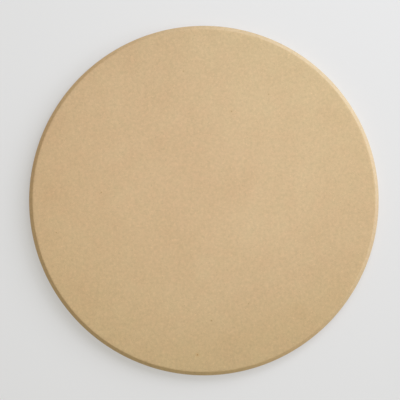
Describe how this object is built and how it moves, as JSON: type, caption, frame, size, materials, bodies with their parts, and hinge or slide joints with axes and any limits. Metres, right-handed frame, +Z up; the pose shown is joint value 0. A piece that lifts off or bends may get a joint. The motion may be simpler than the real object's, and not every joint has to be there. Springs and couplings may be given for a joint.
{
  "type": "pizza stone",
  "caption": "Thick round unglazed ceramic slab with a flat baking face, a broad bevel round it and a flat underside. It soaks up oven heat and bakes pizza or bread from below.",
  "frame": {"origin": "centre of the flat underside, on the surface that the stone stands on", "axes": "+Z up through the stone's axis, towards the baking face; the stone is round, so +X and +Y are interchangeable"},
  "size_m": [0.381, 0.381, 0.015],
  "materials": {
    "fired_cordierite": "unglazed, matt and sandy, with fine grog grain and a few dark iron specks"
  },
  "bodies": {
    "root": {"baking_stone": "fired_cordierite"}
  },
  "joints": []
}
